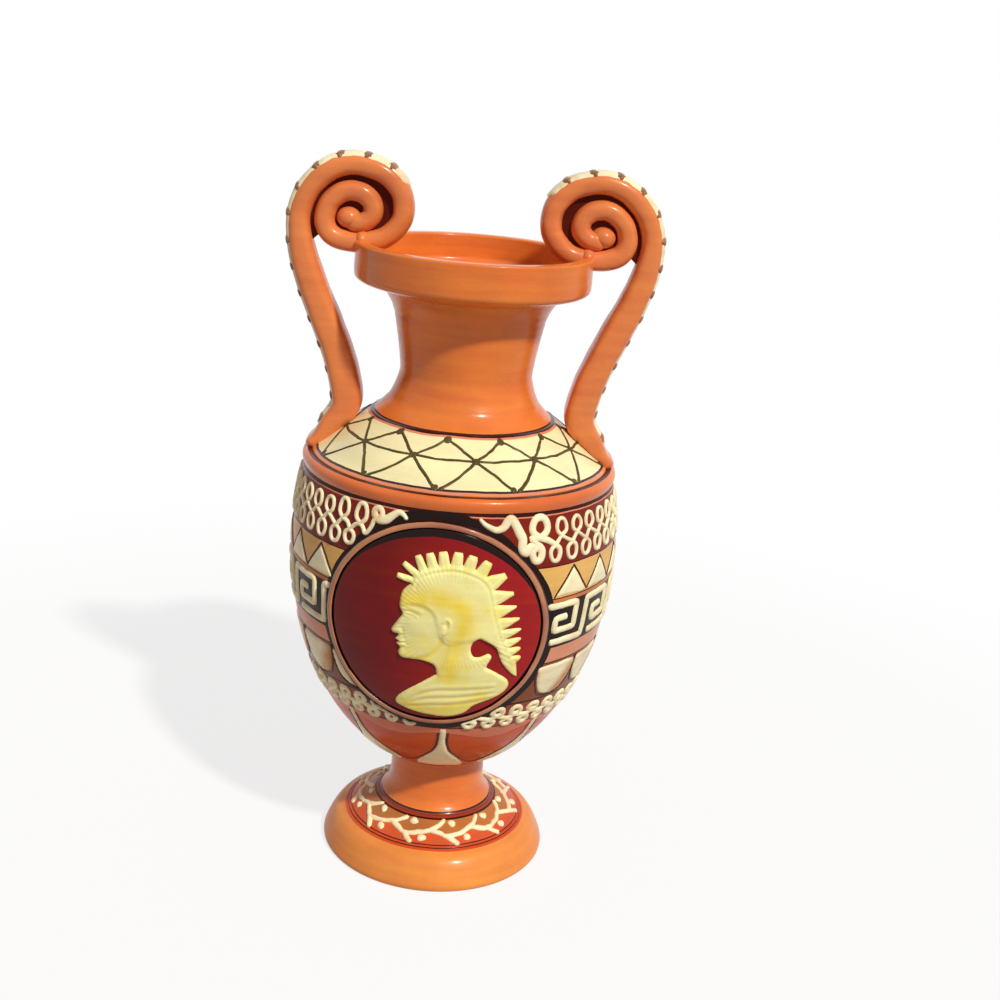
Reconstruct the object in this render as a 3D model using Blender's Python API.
"""Urn vase: a thrown terracotta krater with two rolled handles and a portrait medallion.

Metres, +Z up. The origin is the centre of the foot on the ground, the medallion faces -Y,
and the handles stand along X. The vase is luted together from turned sections, as a potter
builds it: foot, stem, bowl, shoulder, neck and rim collar, each seated on the one below.
"""
import math

import bmesh
import bpy

# Clearance between pieces that are luted together, and the fineness of the turning
JOIN_GAP = 0.0003
TURN_STEPS = 48

# Foot: a rounded disc on a standing ring, hollow underneath
FOOT_RADIUS = 0.0473
FOOT_EDGE_HEIGHT = 0.0026
FOOT_EDGE_CHAMFER = 0.0008
FOOT_ROUND_WIDTH = 0.0081
FOOT_ROUND_RISE = 0.0110
FOOT_SLOPE_RISE = 0.0086
FOOT_RING_WIDTH = 0.0085
FOOT_HOLLOW_DEPTH = 0.0055
FOOT_SEAT_MARGIN = 0.0006

# Stem: a short waisted tube between foot and bowl
STEM_LENGTH = 0.0206
STEM_BASE_RADIUS = 0.0242
STEM_WAIST_RADIUS = 0.0198
STEM_WAIST_RISE = 0.0145
STEM_BORE_RADIUS = 0.0115
STEM_FLARE_POWER = 2.8

# Bowl: the lower and middle body, an egg-shaped ellipse in section. It is cut off for the
# stem and for the shoulder at these shares of its half height, below and above its middle
BODY_RADIUS = 0.0660
BODY_HALF_HEIGHT = 0.0975
BODY_WALL = 0.0060
BOWL_SEAT_SHARE = 0.94974
BOWL_TOP_SHARE = 0.33231
BOWL_FLOOR = 0.0070

# Shoulder: a conical roof on the bowl, with a rounded cordon over the joint
SHOULDER_SET_BACK = 0.00325
SHOULDER_EDGE_HEIGHT = 0.0050
SHOULDER_TOP_MARGIN = 0.0006
SHOULDER_RISE = 0.0168
SHOULDER_WALL = 0.0052
CORDON_BULGE = 0.0011

# Neck: a waisted tube that flares at both ends
NECK_BASE_RADIUS = 0.0356
NECK_WAIST_RADIUS = 0.0263
NECK_WAIST_RISE = 0.0185
NECK_TOP_RADIUS = 0.0346
NECK_LENGTH = 0.0477
NECK_WALL = 0.0048

# Rim collar: an upright band, a little wider at the lip
COLLAR_FOOT_RADIUS = 0.0460
COLLAR_LIP_RADIUS = 0.0463
COLLAR_HEIGHT = 0.0145
COLLAR_FLOOR_DROP = 0.0027
COLLAR_FLOOR = 0.0044
COLLAR_WALL = 0.0052
COLLAR_LIP_ROUND = 0.0006
COLLAR_EDGE_ROUND = 0.0016

# Handles: a strap that springs from the shoulder, leans out and rolls up over the rim
TONGUE_OVERHANG = 0.0016
TONGUE_TIP_THICKNESS = 0.0046
TONGUE_TIP_WIDTH = 0.0165
STRAP_ROOT_INSET = 0.0125
STRAP_ROOT_RISE = 0.0080
STRAP_THICKNESS = 0.0118
STRAP_WIDTH = 0.0152
COIL_THICKNESS = 0.0086
COIL_WIDTH = 0.0118
EYE_THICKNESS = 0.0078
EYE_WIDTH = 0.0102
EYE_END_SHARE = 0.55
VOLUTE_OVERHANG = 0.0020
VOLUTE_SINK = 0.0012
VOLUTE_END_ANGLE = 655.0
# Distances from the volute's centre to the coil's middle line at each quarter turn,
# starting at the outer side and going up over the top towards the mouth, and how far the
# centre is lowered there
VOLUTE_REACHES = (0.0196, 0.0154, 0.0202, 0.0136, 0.0099, 0.0056, 0.0086, 0.0036, 0.0028)
VOLUTE_DROPS = (0.0056, 0.0, 0.0, 0.0, 0.0042, 0.0, 0.0012, 0.0025, 0.0025)
COIL_SIDES = 10
COIL_SPACING = 0.0042
STRAP_SPACING = 0.0078
COIL_SQUARENESS = 0.78

# Medallion: a thin applied disc with a raised ring and a bust in low relief
MEDALLION_RADIUS = 0.0425
MEDALLION_DROP = 0.0135
MEDALLION_BEARING = -4.5
MEDALLION_MARGIN = 0.0020
MEDALLION_RING_WIDTH = 0.0026
MEDALLION_RING_RELIEF = 0.0015
MEDALLION_DISC_RELIEF = 0.0008
MEDALLION_FIGURE_RELIEF = 0.0010
MEDALLION_SIDES = 40

# Bust: head size, the middle of the head measured from the medallion's centre, and the
# stiff tufts of its crest with their lengths from the brow over the crown to the nape
HEAD_HEIGHT = 0.0340
HEAD_ACROSS = 0.0025
HEAD_UP = 0.0032
CREST_TUFTS = 16
CREST_TUFT_LENGTHS = (0.0066, 0.0046, 0.0042, 0.0064, 0.0062, 0.0022)

# Trailed slip: lines squeezed on the clay, which stand proud of it with a ridged top
SLIP_RELIEF = 0.0010
SLIP_ROOT = 0.0005

# Meander: a key pattern round the body, left out where the medallion sits
MEANDER_REPEATS = 18
MEANDER_DRAWN = 13
MEANDER_FIRST = 53.0
MEANDER_DROP = 0.0207
MEANDER_HEIGHT = 0.0156
MEANDER_LINE = 0.0026

# Chain: a line that swings up and down round the top of the body
CHAIN_REPEATS = 50
CHAIN_DRAWN = 39
CHAIN_FIRST = 42.0
CHAIN_RISE = 0.0212
CHAIN_SWING = 0.0070
CHAIN_LINE = 0.0022

# Vine: a forking line round the slope of the foot
VINE_FORKS = 14
VINE_LINE = 0.0019
VINE_RELIEF = 0.0009
VINE_LOW = 0.0054
VINE_HIGH = 0.0087
VINE_PRONG_START = 0.0012
VINE_PRONG = 0.0029

# Colours from the photograph: (red, green, blue), roughness
TERRACOTTA = ((0.80, 0.30, 0.10), 0.32)
BODY_RED = ((0.42, 0.10, 0.04), 0.38)
CREAM_SLIP = ((0.95, 0.88, 0.60), 0.45)
MEDALLION_RED = ((0.33, 0.02, 0.02), 0.35)
RING_TAN = ((0.60, 0.36, 0.22), 0.42)


# Heights that follow from the sizes above, each piece seated on the one below
FOOT_LAND_Z = FOOT_EDGE_HEIGHT + FOOT_ROUND_RISE
FOOT_TOP_Z = FOOT_LAND_Z + FOOT_SLOPE_RISE
STEM_FOOT_Z = FOOT_TOP_Z + JOIN_GAP
STEM_TOP_Z = STEM_FOOT_Z + STEM_LENGTH
BOWL_SEAT_Z = STEM_TOP_Z + JOIN_GAP
BODY_MIDDLE_Z = BOWL_SEAT_Z + BOWL_SEAT_SHARE * BODY_HALF_HEIGHT
BOWL_TOP_Z = BODY_MIDDLE_Z + BOWL_TOP_SHARE * BODY_HALF_HEIGHT
MEDALLION_Z = BODY_MIDDLE_Z - MEDALLION_DROP
SHOULDER_FOOT_Z = BOWL_TOP_Z + JOIN_GAP
SHOULDER_EDGE_Z = SHOULDER_FOOT_Z + SHOULDER_EDGE_HEIGHT
SHOULDER_TOP_Z = SHOULDER_EDGE_Z + SHOULDER_RISE
NECK_FOOT_Z = SHOULDER_TOP_Z + JOIN_GAP
NECK_TOP_Z = NECK_FOOT_Z + NECK_LENGTH
COLLAR_FOOT_Z = NECK_TOP_Z + JOIN_GAP
COLLAR_BAND_Z = COLLAR_FOOT_Z + COLLAR_FLOOR_DROP
RIM_Z = COLLAR_BAND_Z + COLLAR_HEIGHT

# Radii that follow: the shoulder fits inside the bowl's edge, and its top carries the neck
BOWL_TOP_RADIUS = BODY_RADIUS * math.sqrt(1.0 - BOWL_TOP_SHARE ** 2)
SHOULDER_RADIUS = BOWL_TOP_RADIUS - SHOULDER_SET_BACK
SHOULDER_TOP_RADIUS = NECK_BASE_RADIUS + SHOULDER_TOP_MARGIN
STRAP_ROOT_RADIUS = SHOULDER_RADIUS - STRAP_ROOT_INSET
FOOT_LAND_RADIUS = FOOT_RADIUS - FOOT_ROUND_WIDTH


# Curves and outlines, as (radius, height) points
def blend(start, end, share):
    """The value a given share of the way from start to end."""
    return start + (end - start) * share


def smooth_points(knots, samples):
    """Points of a Catmull-Rom curve through the knots, with some samples in each span."""
    points = []
    for index in range(len(knots) - 1):
        before = knots[max(index - 1, 0)]
        start = knots[index]
        end = knots[index + 1]
        after = knots[min(index + 2, len(knots) - 1)]
        for sample in range(samples):
            t = sample / samples
            point = []
            for a, b, c, d in zip(before, start, end, after):
                point.append(b + 0.5 * t * (c - a + t * (2 * a - 5 * b + 4 * c - d
                                                         + t * (3 * (b - c) + d - a))))
            points.append(tuple(point))
    points.append(tuple(knots[-1]))
    return points


def evenly_spaced(points, spacing):
    """The same curve with points at an even spacing, measured on the first two values."""
    lengths = [0.0]
    for before, after in zip(points, points[1:]):
        lengths.append(lengths[-1] + math.dist(before[:2], after[:2]))
    count = max(2, round(lengths[-1] / spacing))
    spaced = []
    span = 0
    for step in range(count + 1):
        target = lengths[-1] * step / count
        while span < len(points) - 2 and lengths[span + 1] < target:
            span += 1
        share = (target - lengths[span]) / (lengths[span + 1] - lengths[span])
        spaced.append(tuple(blend(a, b, share) for a, b in zip(points[span], points[span + 1])))
    return spaced


def grown(points, amount, closed=False):
    """An outline moved outwards, to its right-hand side, by a given amount."""
    moved = []
    count = len(points)
    for index, (radius, height) in enumerate(points):
        normals = []
        for first, second in ((index - 1, index), (index, index + 1)):
            if not closed and (first < 0 or second >= count):
                continue
            a = points[first % count]
            b = points[second % count]
            length = math.dist(a, b)
            normals.append(((b[1] - a[1]) / length, (a[0] - b[0]) / length))
        across = sum(n[0] for n in normals) / len(normals)
        up = sum(n[1] for n in normals) / len(normals)
        size = max(across * across + up * up, 0.25)
        moved.append((radius + amount * across / size, height + amount * up / size))
    return moved


def body_radius(height):
    """Outer radius of the egg-shaped body at a height."""
    share = (height - BODY_MIDDLE_Z) / BODY_HALF_HEIGHT
    return BODY_RADIUS * math.sqrt(max(1.0 - share * share, 0.0))


def body_outline(low, high, steps, inset=0.0):
    """The body's ellipse from a low to a high height, with even steps of its own angle."""
    half_height = BODY_HALF_HEIGHT - inset
    radius = BODY_RADIUS - inset
    start = math.asin((low - BODY_MIDDLE_Z) / half_height)
    end = math.asin((high - BODY_MIDDLE_Z) / half_height)
    points = []
    for step in range(steps + 1):
        angle = blend(start, end, step / steps)
        height = BODY_MIDDLE_Z + half_height * math.sin(angle)
        points.append((radius * math.cos(angle), height))
    return points


def cordon_outline():
    """The cordon's rounded face, from the bowl's edge up to the shoulder's edge."""
    low = (BOWL_TOP_RADIUS, SHOULDER_FOOT_Z)
    high = (SHOULDER_RADIUS + JOIN_GAP + 0.5 * CORDON_BULGE, SHOULDER_EDGE_Z)
    points = []
    steps = 4
    for step in range(steps + 1):
        share = step / steps
        bulge = CORDON_BULGE * math.sin(math.pi * share)
        radius = blend(low[0], high[0], 1.0 - math.cos(0.5 * math.pi * share)) + bulge
        points.append((radius, blend(low[1], high[1], math.sin(0.5 * math.pi * share))))
    return points


def shoulder_outline():
    """The shoulder's outer face: an upright edge, then the cone up to the neck."""
    return [(SHOULDER_RADIUS, SHOULDER_FOOT_Z), (SHOULDER_RADIUS, SHOULDER_EDGE_Z),
            (SHOULDER_TOP_RADIUS, SHOULDER_TOP_Z)]


def shoulder_height(radius):
    """Height of the shoulder's cone at a radius."""
    share = (SHOULDER_RADIUS - radius) / (SHOULDER_RADIUS - SHOULDER_TOP_RADIUS)
    return SHOULDER_EDGE_Z + SHOULDER_RISE * share


def neck_outline():
    """The neck's outer face, waisted between two flares."""
    waist_z = NECK_FOOT_Z + NECK_WAIST_RISE
    above = NECK_TOP_Z - waist_z
    knots = [
        (NECK_BASE_RADIUS, NECK_FOOT_Z),
        (blend(NECK_WAIST_RADIUS, NECK_BASE_RADIUS, 0.40), NECK_FOOT_Z + 0.30 * NECK_WAIST_RISE),
        (blend(NECK_WAIST_RADIUS, NECK_BASE_RADIUS, 0.07), NECK_FOOT_Z + 0.70 * NECK_WAIST_RISE),
        (NECK_WAIST_RADIUS, waist_z),
        (blend(NECK_WAIST_RADIUS, NECK_TOP_RADIUS, 0.27), waist_z + 0.50 * above),
        (blend(NECK_WAIST_RADIUS, NECK_TOP_RADIUS, 0.53), waist_z + 0.80 * above),
        (NECK_TOP_RADIUS, NECK_TOP_Z),
    ]
    return smooth_points(knots, 2)


def collar_outline():
    """The whole section of the rim collar, going round it with the material on the left."""
    seat_radius = NECK_TOP_RADIUS - NECK_WALL
    lip_inside = COLLAR_LIP_RADIUS - COLLAR_WALL
    floor_edge = COLLAR_FOOT_RADIUS - COLLAR_WALL
    return [
        (seat_radius, COLLAR_FOOT_Z),
        (NECK_TOP_RADIUS + JOIN_GAP, COLLAR_FOOT_Z),
        (COLLAR_FOOT_RADIUS - COLLAR_EDGE_ROUND, COLLAR_BAND_Z),
        (COLLAR_FOOT_RADIUS, COLLAR_BAND_Z + COLLAR_EDGE_ROUND),
        (COLLAR_LIP_RADIUS, RIM_Z - COLLAR_LIP_ROUND),
        (COLLAR_LIP_RADIUS - COLLAR_LIP_ROUND, RIM_Z),
        (lip_inside + COLLAR_LIP_ROUND, RIM_Z),
        (lip_inside, RIM_Z - COLLAR_LIP_ROUND),
        (floor_edge, COLLAR_BAND_Z + COLLAR_FLOOR),
        (seat_radius, COLLAR_FOOT_Z + COLLAR_FLOOR),
    ]


def at_quarters(values, angle):
    """A value at an angle in degrees, from the values at each quarter turn of the volute."""
    quarter = min(int(angle // 90), len(values) - 2)
    share = 0.5 - 0.5 * math.cos(math.pi * (angle / 90 - quarter))
    return blend(values[quarter], values[quarter + 1], share)


def handle_course():
    """The handle's middle line with its size: (radius, height, thickness, width) points."""
    slope = math.atan2(SHOULDER_RISE, SHOULDER_RADIUS - SHOULDER_TOP_RADIUS)
    knots = []
    # The tongue lies on the shoulder's cone and thins towards the cordon
    tip_radius = SHOULDER_RADIUS + TONGUE_OVERHANG
    for share, lift in ((0.0, 0.08), (0.35, 0.14), (0.70, 0.28)):
        radius = blend(tip_radius, STRAP_ROOT_RADIUS, share)
        thickness = blend(TONGUE_TIP_THICKNESS, STRAP_THICKNESS, share * share)
        width = blend(TONGUE_TIP_WIDTH, STRAP_WIDTH, share)
        knots.append((radius + lift * STRAP_THICKNESS * math.sin(slope),
                      shoulder_height(radius) + lift * STRAP_THICKNESS * math.cos(slope),
                      thickness, width))
    # The strap rises and leans out in one long S, as far as the volute's outer side
    centre_radius = COLLAR_LIP_RADIUS + VOLUTE_OVERHANG
    centre_z = RIM_Z - VOLUTE_SINK + VOLUTE_REACHES[3]
    root_z = shoulder_height(STRAP_ROOT_RADIUS) + STRAP_ROOT_RISE
    lean_top_z = centre_z - 0.3 * VOLUTE_REACHES[0]
    for step in range(6):
        share = step / 6
        lean = share * share * (3 - 2 * share)
        taper = share ** 3
        knots.append((blend(STRAP_ROOT_RADIUS, centre_radius + VOLUTE_REACHES[0], lean),
                      blend(root_z, lean_top_z, share),
                      blend(STRAP_THICKNESS, COIL_THICKNESS, taper),
                      blend(STRAP_WIDTH, COIL_WIDTH, taper)))
    # The volute rolls up over the top, down into the mouth and round inside itself
    turns = 24
    for step in range(turns + 1):
        share = step / turns
        angle = VOLUTE_END_ANGLE * share
        reach = at_quarters(VOLUTE_REACHES, angle)
        drop = at_quarters(VOLUTE_DROPS, angle)
        knots.append((centre_radius + reach * math.cos(math.radians(angle)),
                      centre_z - drop + reach * math.sin(math.radians(angle)),
                      blend(COIL_THICKNESS, EYE_THICKNESS, share),
                      blend(COIL_WIDTH, EYE_WIDTH, share)))
    strap = smooth_points(knots, 6)
    coil = strap[-6 * turns - 1:]
    del strap[-6 * turns:]
    course = evenly_spaced(strap, STRAP_SPACING)[:-1] + evenly_spaced(coil, COIL_SPACING)
    radius, height, thickness, width = course[-1]
    course[-1] = (radius, height, EYE_END_SHARE * thickness, EYE_END_SHARE * width)
    return course


def crest_outline():
    """The crest from the brow over the crown to the nape, in head heights: a row of tufts."""
    roots = smooth_points([(-0.34, 0.45), (-0.26, 0.61), (0.12, 0.71), (0.49, 0.56), (0.62, 0.16),
                           (0.72, -0.17), (0.84, -0.48)], 12)
    lengths = smooth_points([(length / HEAD_HEIGHT,) for length in CREST_TUFT_LENGTHS], 12)
    points = []
    spots = 2 * CREST_TUFTS
    for spot in range(spots + 1):
        index = min(round((len(roots) - 1) * spot / spots), len(roots) - 2)
        across, up = roots[index]
        if spot % 2:
            run = math.dist(roots[index], roots[index + 1])
            length = lengths[round((len(lengths) - 1) * spot / spots)][0]
            across -= (roots[index + 1][1] - up) / run * length
            up += (roots[index + 1][0] - roots[index][0]) / run * length
        points.append((across, up))
    return points


def bust_outline():
    """Outline of the crested head and shoulders facing left, from the medallion's centre."""
    face = [
        (-0.38, 0.42), (-0.44, 0.32), (-0.455, 0.17), (-0.42, 0.09), (-0.47, 0.01), (-0.535, -0.12),
        (-0.455, -0.16), (-0.485, -0.22), (-0.45, -0.25), (-0.47, -0.28), (-0.43, -0.32), (-0.445, -0.38),
        (-0.39, -0.45), (-0.20, -0.46), (-0.04, -0.49),
    ]
    shoulders = [
        (-0.01, -0.61), (-0.18, -0.75), (-0.35, -0.91), (-0.45, -1.02), (-0.44, -1.11), (-0.21, -1.18),
        (0.11, -1.21), (0.31, -1.15), (0.43, -1.01), (0.65, -0.92), (0.77, -0.82), (0.78, -0.70),
        (0.65, -0.59), (0.53, -0.51),
    ]
    knot_of_hair = [(0.57, -0.38), (0.53, -0.32), (0.42, -0.38), (0.36, -0.31), (0.37, -0.20), (0.44, -0.13)]
    mane = [(0.62, -0.26), (0.68, -0.43), (0.80, -0.62), (0.87, -0.66)]
    points = []
    for across, up in face + shoulders + knot_of_hair + mane + crest_outline()[::-1]:
        points.append((HEAD_ACROSS + HEAD_HEIGHT * across, HEAD_UP + HEAD_HEIGHT * up))
    return points


def body_spot(angle, height, rise):
    """Radius and height of a spot on the body, raised off the clay."""
    return body_radius(height) + rise, height


def foot_spot(angle, run, rise):
    """Radius and height of a spot on the foot's slope, at a run up it and raised off the clay."""
    slope = math.atan2(FOOT_SLOPE_RISE, FOOT_LAND_RADIUS - STEM_BASE_RADIUS - FOOT_SEAT_MARGIN)
    return (FOOT_LAND_RADIUS - run * math.cos(slope) + rise * math.sin(slope),
            FOOT_LAND_Z + run * math.sin(slope) + rise * math.cos(slope))


# Meshes and objects
def finish(name, bm, look, pieces):
    """Turn a mesh into a named object with its own material, smooth apart from its edges."""
    bmesh.ops.remove_doubles(bm, verts=bm.verts, dist=0.000001)
    bmesh.ops.recalc_face_normals(bm, faces=bm.faces)
    mesh = bpy.data.meshes.new(name)
    bm.to_mesh(mesh)
    bm.free()
    mesh.shade_smooth()
    mesh.set_sharp_from_angle(angle=math.radians(40))
    part = bpy.data.objects.new(name, mesh)
    bpy.context.scene.collection.objects.link(part)
    if look is not None:
        (red, green, blue), roughness = look
        material = bpy.data.materials.new(name)
        material.use_nodes = True
        surface = material.node_tree.nodes["Principled BSDF"]
        surface.inputs["Base Color"].default_value = (red, green, blue, 1.0)
        surface.inputs["Roughness"].default_value = roughness
        surface.inputs["Metallic"].default_value = 0.0
        mesh.materials.append(material)
        part.parent = pieces
    return part


def turned(name, outline, look, pieces=None):
    """A piece turned on the wheel: a closed outline of (radius, height) swept round Z."""
    bm = bmesh.new()
    verts = [bm.verts.new((radius, 0.0, height)) for radius, height in outline]
    edges = [bm.edges.new((verts[index - 1], verts[index])) for index in range(len(verts))]
    bmesh.ops.spin(bm, geom=verts + edges, cent=(0, 0, 0), axis=(0, 0, 1), dvec=(0, 0, 0),
                   angle=2 * math.pi, steps=TURN_STEPS, use_merge=True)
    return finish(name, bm, look, pieces)


def cutter_style(part):
    """Mark an object as a guide that only shapes its neighbours."""
    part.hide_render = True
    part.display_type = "WIRE"
    return part


def cut(part, tool, operation="DIFFERENCE"):
    """Shape a piece with a cutter. In a union, the tool's own lines may run into each other."""
    modifier = part.modifiers.new(tool.name, "BOOLEAN")
    modifier.operation = operation
    modifier.solver = "EXACT"
    modifier.use_self = operation == "UNION"
    modifier.object = tool


def foot(pieces):
    """Foot disc: rounded edge, hollow underside and a sloping top with the vine trailed on it."""
    ring_inside = FOOT_RADIUS - FOOT_EDGE_CHAMFER - FOOT_RING_WIDTH
    edge = []
    for in_share, up_share in ((0.0, 0.0), (0.21, 0.38), (0.54, 0.78), (1.0, 1.0)):
        edge.append((blend(FOOT_RADIUS, FOOT_LAND_RADIUS, in_share),
                     blend(FOOT_EDGE_HEIGHT, FOOT_LAND_Z, up_share)))
    outline = [(ring_inside, 0.0), (FOOT_RADIUS - FOOT_EDGE_CHAMFER, 0.0), (FOOT_RADIUS, FOOT_EDGE_CHAMFER)]
    outline += edge
    outline += [
        (STEM_BASE_RADIUS + FOOT_SEAT_MARGIN, FOOT_TOP_Z),
        (STEM_BORE_RADIUS, FOOT_TOP_Z),
        (STEM_BORE_RADIUS, FOOT_TOP_Z - FOOT_HOLLOW_DEPTH),
        (ring_inside - 0.5 * FOOT_HOLLOW_DEPTH, FOOT_HOLLOW_DEPTH),
    ]
    disc = turned("foot_disc", outline, TERRACOTTA, pieces)
    cut(disc, vine(), "UNION")


def stem(pieces):
    """Stem: waisted outside, plain bore inside."""
    top_radius = body_radius(BOWL_SEAT_Z) - JOIN_GAP
    waist_z = STEM_FOOT_Z + STEM_WAIST_RISE
    outline = [(STEM_BORE_RADIUS, STEM_FOOT_Z)]
    steps = 4
    for step in range(steps + 1):
        share = step / steps
        radius = blend(STEM_WAIST_RADIUS, STEM_BASE_RADIUS, (1 - share) ** STEM_FLARE_POWER)
        outline.append((radius, blend(STEM_FOOT_Z, waist_z, share)))
    outline.append((blend(STEM_WAIST_RADIUS, top_radius, 0.3), blend(waist_z, STEM_TOP_Z, 0.6)))
    outline.append((top_radius, STEM_TOP_Z))
    outline.append((STEM_BORE_RADIUS, STEM_TOP_Z))
    turned("foot_stem", outline, TERRACOTTA, pieces)


def slip_line(bm, path, width, relief, spot, radius):
    """A ridge of slip along a path of (turn, up) points, both as lengths at a radius."""
    root_width = width * (relief + SLIP_ROOT) / relief
    rings = []
    for index, (turn, up) in enumerate(path):
        sides = []
        for first, second in ((index - 1, index), (index, index + 1)):
            if first >= 0 and second < len(path):
                length = math.dist(path[first], path[second])
                sides.append(((path[first][1] - path[second][1]) / length,
                              (path[second][0] - path[first][0]) / length))
        across = sum(side[0] for side in sides) / len(sides)
        along = sum(side[1] for side in sides) / len(sides)
        mitre = 0.5 * root_width / max(across * across + along * along, 0.6)
        ring = []
        for share, rise in ((-1, -SLIP_ROOT), (0, relief), (1, -SLIP_ROOT)):
            angle = (turn + share * mitre * across) / radius
            reach, height = spot(angle, up + share * mitre * along, rise)
            ring.append(bm.verts.new((reach * math.sin(angle), -reach * math.cos(angle), height)))
        rings.append(ring)
    for before, after in zip(rings, rings[1:]):
        for corner in range(3):
            following = (corner + 1) % 3
            bm.faces.new((before[corner], before[following], after[following], after[corner]))
    bm.faces.new(rings[0])
    bm.faces.new(rings[-1])


def meander():
    """Guide with the lines of the key pattern, each one a hook that turns in on itself."""
    bm = bmesh.new()
    pitch = 2 * math.pi * BODY_RADIUS / MEANDER_REPEATS
    foot_z = BODY_MIDDLE_Z - MEANDER_DROP
    hook = [(-0.76, 0.0), (-0.38, 0.0), (0.0, 0.0), (0.02, 1.0), (0.37, 1.0), (0.74, 1.0), (0.73, 0.33),
            (0.26, 0.32), (0.27, 0.66), (0.50, 0.66)]
    for repeat in range(MEANDER_DRAWN):
        start = math.radians(MEANDER_FIRST) * BODY_RADIUS + repeat * pitch
        path = [(start + turn * pitch, foot_z + up * MEANDER_HEIGHT) for turn, up in hook]
        slip_line(bm, path, MEANDER_LINE, SLIP_RELIEF, body_spot, BODY_RADIUS)
    return cutter_style(finish("guide_meander", bm, None, None))


def chain():
    """Guide with the chain line: one zigzag from the medallion's right side round to its left."""
    bm = bmesh.new()
    step = math.pi * BODY_RADIUS / CHAIN_REPEATS
    start = math.radians(CHAIN_FIRST) * BODY_RADIUS
    middle_z = BODY_MIDDLE_Z + CHAIN_RISE
    path = []
    for swing in range(2 * CHAIN_DRAWN + 1):
        path.append((start + swing * step, middle_z + (-1) ** swing * CHAIN_SWING))
    slip_line(bm, path, CHAIN_LINE, SLIP_RELIEF, body_spot, BODY_RADIUS)
    return cutter_style(finish("guide_chain", bm, None, None))


def vine():
    """Guide with the vine on the foot: a wavy stem with a prong above and one below in turn."""
    bm = bmesh.new()
    radius = 0.5 * (FOOT_LAND_RADIUS + STEM_BASE_RADIUS)
    pitch = 2 * math.pi * radius / VINE_FORKS
    for fork in range(VINE_FORKS):
        start = fork * pitch
        for path in (((0.00, VINE_HIGH), (0.38, VINE_LOW), (0.96, VINE_HIGH)),
                     ((0.05, VINE_HIGH + VINE_PRONG_START), (0.34, VINE_HIGH + VINE_PRONG)),
                     ((0.45, VINE_LOW - VINE_PRONG_START), (0.62, VINE_LOW - VINE_PRONG))):
            spots = [(start + turn * pitch, up) for turn, up in path]
            slip_line(bm, spots, VINE_LINE, VINE_RELIEF, foot_spot, radius)
    return cutter_style(finish("guide_vine", bm, None, None))


def bowl(pieces):
    """Bowl: an open egg-shaped shell with a flat floor, and the meander trailed round it."""
    floor_z = BOWL_SEAT_Z + BOWL_FLOOR
    outline = [(0.0, BOWL_SEAT_Z)]
    outline += body_outline(BOWL_SEAT_Z, BOWL_TOP_Z, 12)
    outline += reversed(body_outline(floor_z, BOWL_TOP_Z, 5, BODY_WALL))
    outline.append((0.0, floor_z))
    shell = turned("body_bowl", outline, BODY_RED, pieces)
    cut(shell, meander(), "UNION")
    cut(shell, chain(), "UNION")


def shoulder(pieces):
    """Shoulder: conical shell that stands on the bowl's edge and carries the neck."""
    slope = math.atan2(SHOULDER_RISE, SHOULDER_RADIUS - SHOULDER_TOP_RADIUS)
    drop = SHOULDER_WALL / math.cos(slope)
    throat = NECK_BASE_RADIUS - NECK_WALL
    foot_inside = SHOULDER_RADIUS - SHOULDER_WALL
    outline = shoulder_outline()
    outline += [
        (throat, SHOULDER_TOP_Z),
        (throat, shoulder_height(throat) - drop),
        (foot_inside, shoulder_height(foot_inside) - drop),
        (foot_inside, SHOULDER_FOOT_Z),
    ]
    turned("body_shoulder", outline, CREAM_SLIP, pieces)


def cordon(pieces):
    """Cordon: a rounded roll that covers the joint of bowl and shoulder."""
    inside = SHOULDER_RADIUS + JOIN_GAP
    outline = cordon_outline() + [(inside, SHOULDER_EDGE_Z), (inside, SHOULDER_FOOT_Z)]
    turned("shoulder_cordon", outline, TERRACOTTA, pieces)


def neck(pieces):
    """Neck: a tube of even wall, flared to its two seats."""
    outer = neck_outline()
    inner = [(radius - NECK_WALL, height) for radius, height in outer[::-3]]
    turned("neck", outer + inner, TERRACOTTA, pieces)


def seat_of_body():
    """Guide with the outer form of the body from bowl to collar, one join gap larger."""
    outer = body_outline(BODY_MIDDLE_Z, BOWL_TOP_Z, 4)
    outer += cordon_outline()[1:] + shoulder_outline()[1:] + neck_outline()[1:]
    outline = [(0.0, outer[0][1])] + grown(outer, JOIN_GAP) + [(0.0, outer[-1][1])]
    return cutter_style(turned("guide_body_seat", outline, None))


def seat_of_rim():
    """Guide with the form of the rim collar, one join gap larger all round."""
    return cutter_style(turned("guide_rim_seat", grown(collar_outline(), JOIN_GAP, closed=True), None))


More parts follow.
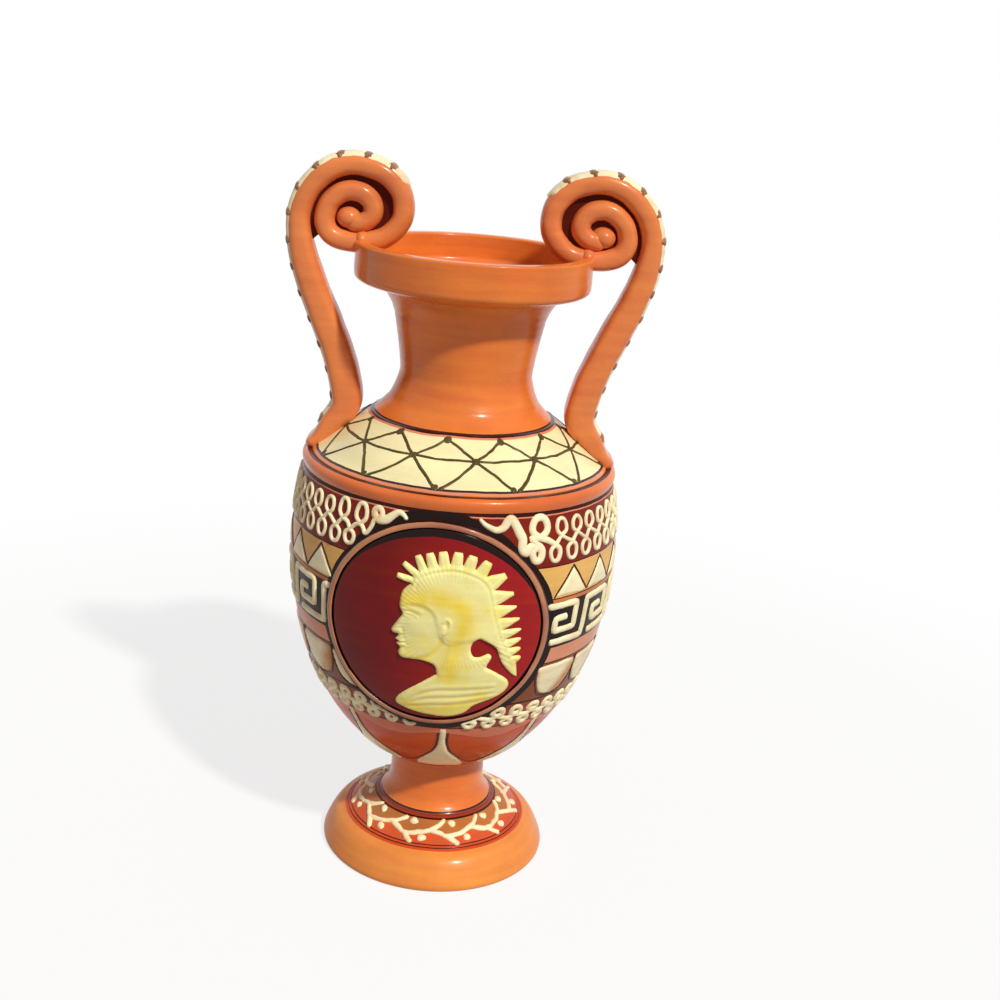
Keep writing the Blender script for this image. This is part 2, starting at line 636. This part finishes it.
def handle(name, side, seats, pieces):
    """One rolled handle: an oval coil swept along its course, seated on shoulder and rim."""
    course = handle_course()
    bm = bmesh.new()
    rings = []
    for index, (radius, height, thickness, width) in enumerate(course):
        before = course[max(index - 1, 0)]
        after = course[min(index + 1, len(course) - 1)]
        length = math.dist(before[:2], after[:2])
        along_r = (after[0] - before[0]) / length
        along_z = (after[1] - before[1]) / length
        ring = []
        for corner in range(COIL_SIDES):
            angle = 2 * math.pi * corner / COIL_SIDES
            out = math.copysign(abs(math.cos(angle)) ** COIL_SQUARENESS, math.cos(angle)) * 0.5 * thickness
            across = math.copysign(abs(math.sin(angle)) ** COIL_SQUARENESS, math.sin(angle)) * 0.5 * width
            ring.append(bm.verts.new((side * (radius + out * along_z), across, height - out * along_r)))
        rings.append(ring)
    for lower, upper in zip(rings, rings[1:]):
        for corner in range(COIL_SIDES):
            following = (corner + 1) % COIL_SIDES
            bm.faces.new((lower[corner], lower[following], upper[following], upper[corner]))
    bm.faces.new(rings[0])
    bm.faces.new(rings[-1])
    part = finish(name, bm, TERRACOTTA, pieces)
    for seat in seats:
        cut(part, seat)


def medallion_layer(name, low, high, look, pieces):
    """A thin shell that follows the body, between two heights above its surface."""
    reach = MEDALLION_RADIUS + MEDALLION_MARGIN
    face = body_outline(MEDALLION_Z - reach, min(MEDALLION_Z + reach, BOWL_TOP_Z), 8)
    outline = grown(face, high)[::-1] + grown(face, low)
    return turned(name, outline[::-1], look, pieces)


def medallion_prism(name, outline):
    """A guide with a flat outline, run out of the body along the medallion's bearing."""
    bm = bmesh.new()
    near = []
    far = []
    bearing = math.radians(MEDALLION_BEARING)
    inside_wall = 0.35 * BODY_RADIUS
    outside_wall = 1.25 * BODY_RADIUS
    for across, up in outline:
        for depth, ring in ((inside_wall, near), (outside_wall, far)):
            x = across * math.cos(bearing) + depth * math.sin(bearing)
            y = across * math.sin(bearing) - depth * math.cos(bearing)
            ring.append(bm.verts.new((x, y, MEDALLION_Z + up)))
    count = len(outline)
    for index in range(count):
        following = (index + 1) % count
        bm.faces.new((near[index], near[following], far[following], far[index]))
    bm.faces.new(near)
    bm.faces.new(far)
    return cutter_style(finish(name, bm, None, None))


def round_outline(radius):
    """Points of a circle about the medallion's centre."""
    points = []
    for side in range(MEDALLION_SIDES):
        angle = 2 * math.pi * side / MEDALLION_SIDES
        points.append((radius * math.cos(angle), radius * math.sin(angle)))
    return points


def medallion(pieces):
    """Applied medallion: disc, raised ring round it and bust on it."""
    ring_inside = MEDALLION_RADIUS - MEDALLION_RING_WIDTH
    disc_top = JOIN_GAP + MEDALLION_DISC_RELIEF
    disc_edge = medallion_prism("guide_medallion_disc", round_outline(ring_inside - JOIN_GAP))
    ring_bore = medallion_prism("guide_medallion_bore", round_outline(ring_inside))
    ring_edge = medallion_prism("guide_medallion_ring", round_outline(MEDALLION_RADIUS))
    bust_edge = medallion_prism("guide_medallion_bust", bust_outline())
    disc = medallion_layer("medallion_disc", JOIN_GAP, disc_top, MEDALLION_RED, pieces)
    cut(disc, disc_edge, "INTERSECT")
    ring = medallion_layer("medallion_ring", JOIN_GAP, JOIN_GAP + MEDALLION_RING_RELIEF, RING_TAN, pieces)
    cut(ring, ring_edge, "INTERSECT")
    cut(ring, ring_bore)
    bust_low = disc_top + JOIN_GAP
    bust = medallion_layer("medallion_figure", bust_low, bust_low + MEDALLION_FIGURE_RELIEF,
                           CREAM_SLIP, pieces)
    cut(bust, bust_edge, "INTERSECT")


def build():
    """Clear the scene and lay out the whole vase under one empty."""
    for leftover in list(bpy.data.objects):
        bpy.data.objects.remove(leftover, do_unlink=True)
    pieces = bpy.data.objects.new("urn_vase", None)
    bpy.context.scene.collection.objects.link(pieces)
    foot(pieces)
    stem(pieces)
    bowl(pieces)
    shoulder(pieces)
    cordon(pieces)
    neck(pieces)
    turned("rim_collar", collar_outline(), TERRACOTTA, pieces)
    seats = (seat_of_body(), seat_of_rim())
    handle("handle_left", -1, seats, pieces)
    handle("handle_right", 1, seats, pieces)
    medallion(pieces)


build()
